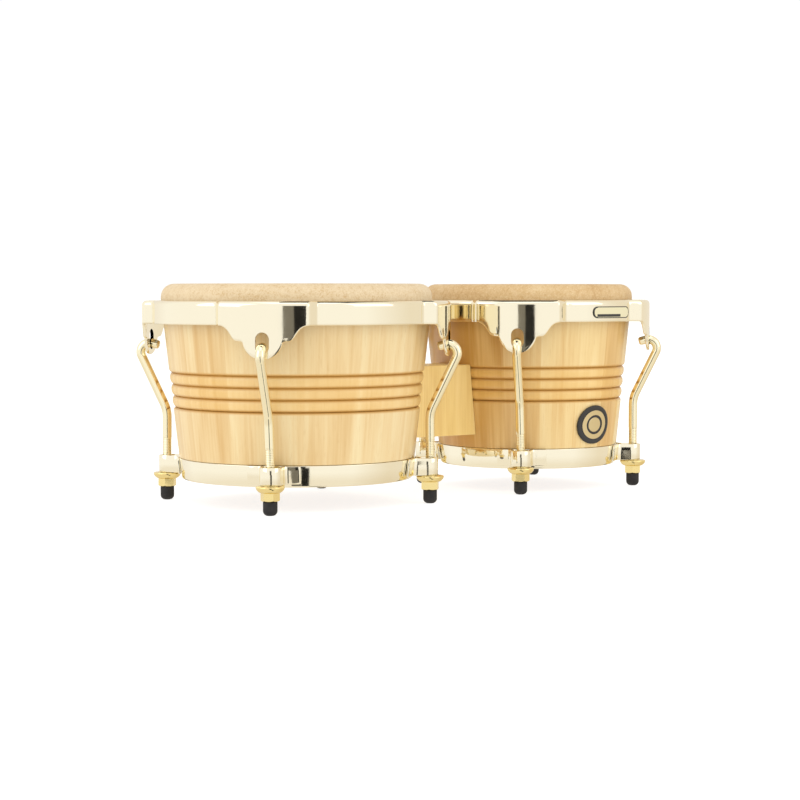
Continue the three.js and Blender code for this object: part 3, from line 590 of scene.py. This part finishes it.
def ear_outline():
    """The lower edge from an ear's middle outwards: round lobe, small hollow, long S up to the band."""
    points = [(LOBE_RADIUS * math.sin(a), LOBE_HEIGHT - LOBE_RADIUS * math.cos(a))
              for a in (math.radians(78 * i / 30) for i in range(31))]
    for start, pull_1, pull_2, end in (
        ((14.7, 125.1), (15.2, 127.0), (18.2, 126.0), (20.5, 126.9)),
        ((20.5, 126.9), (24.4, 128.6), (25.3, 137.3), (33.5, 137.6)),
    ):
        for i in range(1, 31):
            s = i / 30
            weights = ((1 - s) ** 3, 3 * s * (1 - s) ** 2, 3 * s * s * (1 - s), s ** 3)
            points.append(tuple(sum(weight * value for weight, value in zip(weights, values))
                                for values in zip(start, pull_1, pull_2, end)))
    return points + [(EAR_SPREAD, RIM_EDGE)]


def edge_stations(outline, count):
    """Evenly spaced points along the outline, each with the direction into the sheet."""
    lengths = [0]
    for a, b in zip(outline, outline[1:]):
        lengths.append(lengths[-1] + math.dist(a, b))
    stations = []
    for i in range(count + 1):
        wanted = lengths[-1] * i / count
        k = min(max(j for j, length in enumerate(lengths) if length <= wanted + 1e-9), len(outline) - 2)
        share = (wanted - lengths[k]) / (lengths[k + 1] - lengths[k])
        a, b = Vector(outline[k]), Vector(outline[k + 1])
        before, after = Vector(outline[max(k - 1, 0)]), Vector(outline[min(k + 2, len(outline) - 1)])
        along = (after - before).normalized()
        stations.append((a.lerp(b, share), Vector((-along.y, along.x))))
    stations[0] = (stations[0][0], Vector((0, 1)))
    stations[-1] = (stations[-1][0], Vector((0, 1)))
    return stations


def ear_share(t):
    """1 on the ear's plate, 0 on the band. The flank leaves the plate softly and meets the band sharply."""
    soft, sharp = 0.4, 0.14
    x = min(max((abs(t) - EAR_PLATE) / (EAR_SPREAD - EAR_PLATE), 0), 1)
    slope = 1 / (1 - (soft + sharp) / 2)
    if x < soft:
        fallen = slope * x * x / (2 * soft)
    elif x < 1 - sharp:
        fallen = slope * (x - soft / 2)
    else:
        fallen = 1 - slope * (1 - x) ** 2 / (2 * sharp)
    return 1 - fallen


def wall_point(drum, t, z, depth):
    """A point of the wall near an ear whose middle is along +X: t across, z up, depth 0 outside, 1 inside."""
    band = drum["head"] + RIM_BAND
    radius = band - depth * RIM_SHEET
    angle = math.asin(t / band)
    share = ear_share(abs(t) + depth * FLANK_SHIFT)
    plate = math.sqrt((drum["ear"] - depth * RIM_SHEET) ** 2 - t * t)
    on_band = Vector((radius * math.cos(angle), radius * math.sin(angle), z))
    return on_band.lerp(Vector((plate, t, z)), share)


STATIONS = edge_stations(ear_outline(), EAR_COLUMNS)
# Rows round the sheet's section: ("wall", height share, depth), ("edge", inset from the outline, depth),
# ("top", distance in from the outside, height) and ("lip", distance out from the lip's edge, height).
ROWS = [("wall", i / 13, 0) for i in range(14)]
ROWS += [("top", RIM_ROUND * (1 - math.cos(a)), RIM_TOP - RIM_ROUND * (1 - math.sin(a)))
         for a in (math.radians(90 * i / 8) for i in range(1, 9))]
ROWS += [("lip", 0.7, RIM_TOP), ("lip", 0.2, RIM_TOP - 0.2), ("lip", 0, RIM_TOP - 0.7),
         ("lip", 0, RIM_LIP_FOOT + 0.4), ("lip", 0.4, RIM_LIP_FOOT)]
ROWS += [("wall", 0.93, 1)] + [("wall", i / 6, 1) for i in range(5, -1, -1)]
ROWS += [("edge", inset, depth) for inset, depth in ((0.24, 0.93), (0.04, 0.74), (0, 0.5), (0.04, 0.26),
                                                     (0.24, 0.07))]
EDGE_INSET = 0.8


def rim_vertex(drum, row, column):
    """Where one vertex of the rim's section stands; column runs both ways from an ear's middle."""
    kind, first, second = ROWS[row]
    band = drum["head"] + RIM_BAND
    side, column = (1 if column >= 0 else -1), abs(column)
    if column <= EAR_COLUMNS:
        (t_low, z_low), into = STATIONS[column]
        t_high = EAR_SPREAD * (column / EAR_COLUMNS) ** 0.8
    else:
        share = (column - EAR_COLUMNS) / (SECTOR_COLUMNS - EAR_COLUMNS)
        start = math.asin(EAR_SPREAD / band)
        t_low = t_high = band * math.sin(start + (math.pi / 4 - start) * share)
        z_low, into = RIM_EDGE, Vector((0, 1))
    if kind == "edge":
        point = wall_point(drum, t_low + into.x * first, z_low + into.y * first, second)
    elif kind == "wall":
        t_start, z_start = t_low + into.x * EDGE_INSET, z_low + into.y * EDGE_INSET
        top = RIM_TOP - RIM_ROUND if second == 0 else RIM_LIP_FOOT
        t = t_start + (t_high - t_start) * first ** 0.8
        point = wall_point(drum, t, z_start + (top - z_start) * first, second)
    else:
        outer = wall_point(drum, t_high, RIM_TOP, 0)
        inward = Vector((outer.x, outer.y)).normalized()
        lip = Vector((*(inward * (drum["head"] + RIM_LIP_GAP)), RIM_TOP))
        outer = wall_point(drum, t_high, RIM_TOP - RIM_ROUND, 0)
        outer.z = RIM_TOP
        across = lip - outer
        point = outer + across.normalized() * first if kind == "top" else lip - across.normalized() * first
        point.z = second
    return Vector((point.x, side * point.y, point.z))


for drum_name, drum in DRUMS.items():
    bm = bmesh.new()
    row_layer = bm.verts.layers.int.new("row")
    # The section is spun as a simple loop first; each vertex is then pressed to its place.
    section = []
    for row in range(len(ROWS)):
        a = 2 * math.pi * row / len(ROWS)
        vert = bm.verts.new((drum["head"] + 4 * math.cos(a), 0, 145 + 4 * math.sin(a)))
        vert[row_layer] = row
        section.append(vert)
    edges = [bm.edges.new(pair) for pair in zip(section, section[1:] + section[:1])]
    steps = 8 * SECTOR_COLUMNS
    bmesh.ops.spin(bm, geom=section + edges, axis=(0, 0, 1), cent=(0, 0, 0), dvec=(0, 0, 0),
                   angle=2 * math.pi, steps=steps, use_merge=True, use_duplicate=False)
    for vert in bm.verts:
        index = round(math.atan2(vert.co.y, vert.co.x) / (2 * math.pi) * steps)
        ear = 2 * math.floor(index / (2 * SECTOR_COLUMNS)) + 1
        column = index - ear * SECTOR_COLUMNS
        vert.co = Matrix.Rotation(math.radians(45 * ear), 3, "Z") @ rim_vertex(drum, vert[row_layer], column)
    bmesh.ops.recalc_face_normals(bm, faces=bm.faces)
    # Slots: a rounded cutter flares at both faces of the plate, which rounds over the slot's edges.
    cutters = []
    radius = SLOT_WIDTH / 2
    for angle in LUG_ANGLES:
        cutter = bmesh.new()
        outline = [cutter.verts.new((0, radius * math.cos(a), SLOT_HIGH - radius + radius * math.sin(a)))
                   for a in (math.radians(180 * i / 16) for i in range(17))]
        outline += [cutter.verts.new((0, radius * math.cos(a), SLOT_LOW + radius + radius * math.sin(a)))
                    for a in (math.radians(180 + 180 * i / 16) for i in range(17))]
        ring = [cutter.edges.new(pair) for pair in zip(outline, outline[1:] + outline[:1])]
        bmesh.ops.contextual_create(cutter, geom=ring)
        verts = list(cutter.verts)
        for number, (out, widen) in enumerate(SLOT_FLARE):
            if number:
                face = max(cutter.faces, key=lambda f: f.calc_center_median().x)
                raised = bmesh.ops.extrude_face_region(cutter, geom=[face])["geom"]
                bmesh.ops.delete(cutter, geom=[face], context="FACES_ONLY")
                verts = [v for v in raised if isinstance(v, bmesh.types.BMVert)]
            for vert in verts:
                centre_z = min(max(vert.co.z, SLOT_LOW + radius), SLOT_HIGH - radius)
                away = Vector((vert.co.y, vert.co.z - centre_z))
                away = away.normalized() * (radius + widen) if away.length > 1e-6 else away
                vert.co = Vector((drum["ear"] + out, away.x, centre_z + away.y))
        bmesh.ops.recalc_face_normals(cutter, faces=cutter.faces)
        bmesh.ops.rotate(cutter, verts=cutter.verts, cent=(0, 0, 0),
                         matrix=Matrix.Rotation(math.radians(angle), 3, "Z"))
        cutters.append(cutter)
    make_piece(f"{drum_name}_pressed_rim", combined(bm, cutters, "DIFFERENCE"), GOLD_PLATE,
               f"{drum_name}_tension_set", [f"{drum_name}_rim"], x=drum["axis"],
               turn=RIM_TURN[drum_name], smooth=32)


# ---- maker's plate ---------------------------------------------------------------------
# A thin pill-shaped plate glued to the macho's rim band: cream enamel with a raised black border and one
# plain black bar, bent to the band.
PLATE_HALF_LENGTH, PLATE_HALF_HEIGHT, PLATE_THICK = 21.5, 4.7, 0.8
PLATE_HEIGHT, PLATE_AZIMUTH = 145.3, -83.5
PLATE_STRAIGHT = PLATE_HALF_LENGTH - PLATE_HALF_HEIGHT
BORDER = 0.9
BAR_LOW, BAR_HIGH, BAR_START, BAR_END = -3.6, -1.5, -18, 9
plate = bmesh.new()
bmesh.ops.create_grid(plate, x_segments=82, y_segments=26, size=1)
for vert in plate.verts:
    along = abs(vert.co.x) * PLATE_HALF_LENGTH
    past = max(along - PLATE_STRAIGHT, 0)
    vert.co.y *= math.sqrt(max(PLATE_HALF_HEIGHT ** 2 - past ** 2, 0.0))
    vert.co.x *= PLATE_HALF_LENGTH
bmesh.ops.remove_doubles(plate, verts=plate.verts, dist=0.01)
raised = bmesh.ops.extrude_face_region(plate, geom=list(plate.faces))["geom"]
bmesh.ops.translate(plate, verts=[v for v in raised if isinstance(v, bmesh.types.BMVert)],
                    vec=(0, 0, PLATE_THICK))
bmesh.ops.recalc_face_normals(plate, faces=plate.faces)
for face in plate.faces:
    middle = face.calc_center_median()
    past = max(abs(middle.x) - PLATE_STRAIGHT, 0)
    border = math.hypot(past, middle.y) > PLATE_HALF_HEIGHT - BORDER
    bar = BAR_LOW < middle.y < BAR_HIGH and BAR_START < middle.x < BAR_END
    face.material_index = 0 if border or bar or middle.z < PLATE_THICK * 0.9 else 1
for vert in plate.verts:
    face = DRUMS["macho"]["head"] + RIM_BAND + 0.05
    angle = math.radians(PLATE_AZIMUTH) + vert.co.x / face
    vert.co = Vector(((face + vert.co.z) * math.cos(angle), (face + vert.co.z) * math.sin(angle),
                      PLATE_HEIGHT + vert.co.y))
CREAM_ENAMEL = new_finish("cream_enamel", Base_Color=linear("#ddd3ac"), Roughness=0.3, IOR=1.5)[0]
make_piece("macho_makers_plate", plate, [BLACK_ENAMEL, CREAM_ENAMEL], "macho_tension_set", [],
           x=DRUMS["macho"]["axis"], smooth=30)


# ---- tuning rods -----------------------------------------------------------------------
# Cold-drawn 7.1 mm steel, cranked outwards, hooked over the ear's slot and threaded at the foot (1.25 mm
# pitch), then gold plated. The plate looks yellower on the thread because each flank mirrors the next.
ROD_FOOT = 3.4
HOOK_RADIUS, HOOK_TOP, HOOK_OUT, HOOK_TIP, HOOK_DROOP = 7.2, 122.2, 6.1, 6.1, 15
ROD_SLANT, ROD_BEND, ROD_UPRIGHT = 26, 25, 36
THREAD_PITCH, THREAD_DEPTH, THREAD_END = 1.25, 0.42, 49.0
ROD_PLATE = gold_plated_steel("gold_plated_rod", "#fbf0cc", 0.09, wave=0.01, wave_mm=12)

for drum_name, drum in DRUMS.items():
    slant = math.radians(ROD_SLANT)
    foot_u = ROD_CIRCLE[drum_name]
    hook_u, hook_z = drum["ear"] + HOOK_OUT - HOOK_RADIUS, HOOK_TOP - HOOK_RADIUS
    upper_u, upper_z = hook_u + HOOK_RADIUS * math.cos(slant), hook_z - HOOK_RADIUS * math.sin(slant)
    knee_z = upper_z - (upper_u - foot_u) / math.tan(slant)
    bend_z = knee_z - ROD_BEND * math.tan(slant / 2)
    # Stations along the rod: distance out, height, lean of the centreline from upright, radius.
    stations = [(foot_u, ROD_FOOT, 0, ROD_RADIUS - 0.8), (foot_u, ROD_FOOT + 0.8, 0, ROD_RADIUS)]
    z = ROD_FOOT + 0.8 + THREAD_PITCH / 4
    while z < THREAD_END + 1:
        stations.append((foot_u, z, 0, ROD_RADIUS))
        z += THREAD_PITCH / 4
    for i in range(9):
        a = slant * i / 8
        stations.append((foot_u + ROD_BEND * (1 - math.cos(a)), bend_z + ROD_BEND * math.sin(a), a,
                         ROD_RADIUS))
    turn_end = math.radians(90 + HOOK_DROOP)
    for i in range(25):
        a = -slant + (turn_end + slant) * i / 24
        stations.append((hook_u + HOOK_RADIUS * math.cos(a), hook_z + HOOK_RADIUS * math.sin(a), -a,
                         ROD_RADIUS))
    tip_u, tip_z = stations[-1][0], stations[-1][1]
    for short, thinner in ((1.4, 0.15), (0.5, 0.5), (0, 1.5)):
        reach = HOOK_TIP - short
        stations.append((tip_u - reach * math.sin(turn_end), tip_z + reach * math.cos(turn_end), -turn_end,
                         ROD_RADIUS - thinner))
    turn_to_ear = math.radians(RIM_TURN[drum_name] - LUG_TURN[drum_name])
    for i, angle in enumerate(LUG_ANGLES, 1):
        bm = bmesh.new()
        loop = bmesh.ops.create_circle(bm, cap_ends=True, segments=24, radius=1)["verts"]
        edges = list(bm.edges)
        before = Matrix.Identity(4)
        for number, (u, z, lean, radius) in enumerate(stations):
            after = (Matrix.Translation((u, 0, z)) @ Matrix.Rotation(lean, 4, "Y")
                     @ Matrix.Diagonal((radius, radius, 1, 1)))
            if number:
                raised = bmesh.ops.extrude_edge_only(bm, edges=edges)["geom"]
                edges = [e for e in raised if isinstance(e, bmesh.types.BMEdge)]
                loop = [v for v in raised if isinstance(v, bmesh.types.BMVert)]
            bmesh.ops.transform(bm, verts=loop, matrix=after @ before.inverted())
            before = after
        bmesh.ops.contextual_create(bm, geom=edges)
        bmesh.ops.recalc_face_normals(bm, faces=bm.faces)
        for vert in bm.verts:
            out = Vector((vert.co.x - foot_u, vert.co.y, 0))
            if vert.co.z < THREAD_END and out.length > ROD_RADIUS - 0.1:
                turns = vert.co.z / THREAD_PITCH - math.atan2(out.y, out.x) / (2 * math.pi)
                depth = THREAD_DEPTH * abs(2 * (turns % 1) - 1) * min((THREAD_END - vert.co.z) / 1.5, 1)
                vert.co -= out.normalized() * depth
            # Half of a rod's turn towards its ear is below the bend.
            low_share = 0.5 * min(max((vert.co.z - ROD_UPRIGHT) / (knee_z - ROD_UPRIGHT), 0), 1)
            share = low_share + 0.5 * min(max((vert.co.z - knee_z) / (upper_z - knee_z), 0), 1)
            vert.co = Matrix.Rotation(turn_to_ear * share, 3, "Z") @ vert.co
        make_piece(f"{drum_name}_hooked_rod_{i}", bm, ROD_PLATE, f"{drum_name}_tension_set",
                   [f"{drum_name}_rod_{i}"], x=drum["axis"], turn=angle + LUG_TURN[drum_name], smooth=50)


# ---- flange nuts -----------------------------------------------------------------------
# Cold-forged M8 nuts with a wide round flange that bears on the lug, plated in a deeper yellow gold. Turned
# with a spanner, each draws its rod and the rim down.
YELLOW_PLATE = gold_plated_steel("yellow_gold_plate", "#f5de9b", 0.16, wave=0.004, wave_mm=6)
for drum_name, drum in DRUMS.items():
    for i, angle in enumerate(LUG_ANGLES, 1):
        flange = [(0, 21.4), (9.9, 21.4), (10.4, 21.1), (10.6, 20.5), (10.4, 19.6), (9.9, 18.7), (9.2, 17.9),
                  (8.4, 17.2), (7.6, 16.8), (7.1, 16.6), (0, 16.6)]
        nut = combined(turned(flange, 64), [hexagon(12.4, 10.5, 17.5, 0.8)], "UNION")
        bore = turned([(0, 8), (3.85, 8), (3.85, 24), (0, 24)], 40)
        nut = combined(nut, [bore], "DIFFERENCE")
        bmesh.ops.translate(nut, verts=nut.verts, vec=(ROD_CIRCLE[drum_name], 0, 0))
        make_piece(f"{drum_name}_flange_nut_{i}", nut, YELLOW_PLATE, f"{drum_name}_tuner_{i}",
                   [f"{drum_name}_nut_{i}"], x=drum["axis"], turn=angle + LUG_TURN[drum_name])


# ---- feet ------------------------------------------------------------------------------
# Moulded black rubber caps pushed on the rods' ends: matt, with a rounded tip and a slightly dusty skin.
# The drums stand on them.
RUBBER, tree, surface = new_finish("moulded_black_rubber", Roughness=0.7, IOR=1.52)
place = add_node(tree, "TexCoord").outputs["Object"]
dust = add_node(tree, "TexNoise", {"Vector": place, "Scale": 1 / 0.004, "Detail": 4.0})
tree.links.new(colour_ramp(tree, dust, [(0.35, "#151312"), (0.7, "#25211e")]), surface.inputs["Base Color"])
bump = add_node(tree, "Bump", {"Height": dust, "Strength": 0.1, "Distance": 0.0003})
tree.links.new(bump.outputs[0], surface.inputs["Normal"])
for drum_name, drum in DRUMS.items():
    for i, angle in enumerate(LUG_ANGLES, 1):
        cap = [(0, 0), (1.7, 0), *arc(1.7, 3.6, 3.6, -80, 0, 8), *arc(4.9, 9.8, 0.4, 0, 90, 3), (3.85, 10.2),
               (3.85, 3.1), (0, 3.1)]
        foot = turned(cap, 48)
        bmesh.ops.translate(foot, verts=foot.verts, vec=(ROD_CIRCLE[drum_name], 0, 0))
        make_piece(f"{drum_name}_rubber_cap_{i}", foot, RUBBER, f"{drum_name}_tension_set",
                   [f"{drum_name}_foot_{i}"], x=drum["axis"], turn=angle + LUG_TURN[drum_name])


# ---- studio ----------------------------------------------------------------------------
# A white sweep in a bright, even tent of light, with a soft box at each side and one overhead. Black and
# grey cloth flags near the camera and overhead are seen only in reflections, as dark lines down the
# polished metal.
FLOOR_PAINT, tree, surface = new_finish("white_sweep", Base_Color=linear("#a3a3a2"), Roughness=0.9,
                                        Emission_Color=(1, 1, 1, 1), Emission_Strength=0.8)
bm = bmesh.new()
bmesh.ops.create_grid(bm, x_segments=1, y_segments=1, size=30)
floor_mesh = bpy.data.meshes.new("floor")
bm.to_mesh(floor_mesh)
bm.free()
floor_mesh.materials.append(FLOOR_PAINT)
floor = bpy.data.objects.new("floor", floor_mesh)
bpy.context.scene.collection.objects.link(floor)
floor.visible_glossy = False

world = bpy.data.worlds.new("tent")
bpy.context.scene.world = world
world.use_nodes = True
tree = world.node_tree
tent = tree.nodes["Background"]
tent.inputs["Strength"].default_value = 1.02
# In reflections the cloth is white towards the left, and greyer and warmer to the right and underneath.
direction = add_node(tree, "TexCoord").outputs["Generated"]
towards = add_node(tree, "VectorMath", {0: direction, 1: (-0.93, -0.37, 0)}, operation="DOT_PRODUCT")
far = add_node(tree, "MapRange", {"Value": towards.outputs["Value"], "From Min": 0.0, "From Max": -0.7})
below = add_node(tree, "MapRange", {"Value": add_node(tree, "SeparateXYZ", {0: direction}).outputs["Z"],
                                    "From Min": -0.1, "From Max": -0.28})
cloth = add_node(tree, "MixRGB", {"Fac": far, "Color1": (1, 1, 1, 1), "Color2": (0.86, 0.8, 0.7, 1)})
cloth = add_node(tree, "MixRGB", {"Fac": below, "Color1": cloth, "Color2": (0.9, 0.86, 0.79, 1)},
                 blend_type="MULTIPLY")
seen = add_node(tree, "LightPath").outputs["Is Glossy Ray"]
cloth = add_node(tree, "MixRGB", {"Fac": seen, "Color1": (1, 1, 1, 1), "Color2": cloth})
tree.links.new(cloth.outputs[0], tent.inputs["Color"])

MIDDLE = Vector((0.01, 0, 0.08))
# Each soft box: its azimuth, its reach from the middle and its height in metres, its size and its power.
SOFT_BOXES = ((-95, 1.7, 0.9, 1.4, 5), (25, 1.7, 0.8, 1.2, 3), (-30, 0.6, 2.2, 1.6, 4))
for azimuth, reach, height, size, power in SOFT_BOXES:
    light = bpy.data.lights.new("soft_box", "AREA")
    light.shape, light.size, light.energy = "SQUARE", size, power
    lamp = bpy.data.objects.new("soft_box", light)
    bpy.context.scene.collection.objects.link(lamp)
    a = math.radians(azimuth)
    lamp.location = (reach * math.sin(a), -reach * math.cos(a), height)
    lamp.rotation_euler = (MIDDLE - lamp.location).to_track_quat("-Z", "Y").to_euler()

BLACK_CLOTH = new_finish("black_flag", Base_Color=(0.004, 0.004, 0.004, 1), Roughness=1.0)[0]
GREY_CLOTH = new_finish("grey_flag", Base_Color=(0.16, 0.15, 0.13, 1), Roughness=1.0)[0]
# Each flag: its cloth, its distance from the middle in metres, and its corners' azimuths and elevations.
FLAGS = [
    (BLACK_CLOTH, 1.63, ((-39.6, -0.8), (-30.5, -0.8), (-30.5, 9), (-39.6, 9))),
    (BLACK_CLOTH, 1.63, ((-34.3, -32), (-27, -32), (-27, -0.8), (-34.3, -0.8))),
    (BLACK_CLOTH, 1.63, ((-25, -60), (2, -60), (-16, -38), (-26, -38))),
    (GREY_CLOTH, 1.63, ((-46.8, -0.8), (-39.6, -0.8), (-39.6, 9), (-46.8, 9))),
    (GREY_CLOTH, 1.63, ((-43.5, -32), (-34.6, -32), (-34.6, -0.8), (-43.5, -0.8))),
    (BLACK_CLOTH, 1.0, ((-78, 72), (19, 67), (122, 46), (156, 47))),
]
for cloth, reach, places in FLAGS:
    bm = bmesh.new()
    corners = []
    for azimuth, elevation in places:
        a, e = math.radians(azimuth), math.radians(elevation)
        across = reach * math.cos(e)
        corners.append(bm.verts.new((MIDDLE.x + across * math.sin(a), -across * math.cos(a),
                                     MIDDLE.z + reach * math.sin(e))))
    bmesh.ops.contextual_create(bm, geom=corners)
    mesh = bpy.data.meshes.new("flag")
    bm.to_mesh(mesh)
    bm.free()
    mesh.materials.append(cloth)
    flag = bpy.data.objects.new("flag", mesh)
    bpy.context.scene.collection.objects.link(flag)
    flag.visible_camera = flag.visible_diffuse = flag.visible_shadow = False

camera_data = bpy.data.cameras.new("camera")
camera_data.lens, camera_data.sensor_width = 91.37, 36
camera = bpy.data.objects.new("camera", camera_data)
camera.location = (-0.9842, -1.2992, 0.1631)
camera.rotation_euler = (math.radians(90 - 3.098), 0, math.radians(-36.9))
bpy.context.scene.collection.objects.link(camera)
bpy.context.scene.camera = camera
bpy.context.scene.view_settings.view_transform = "Standard"
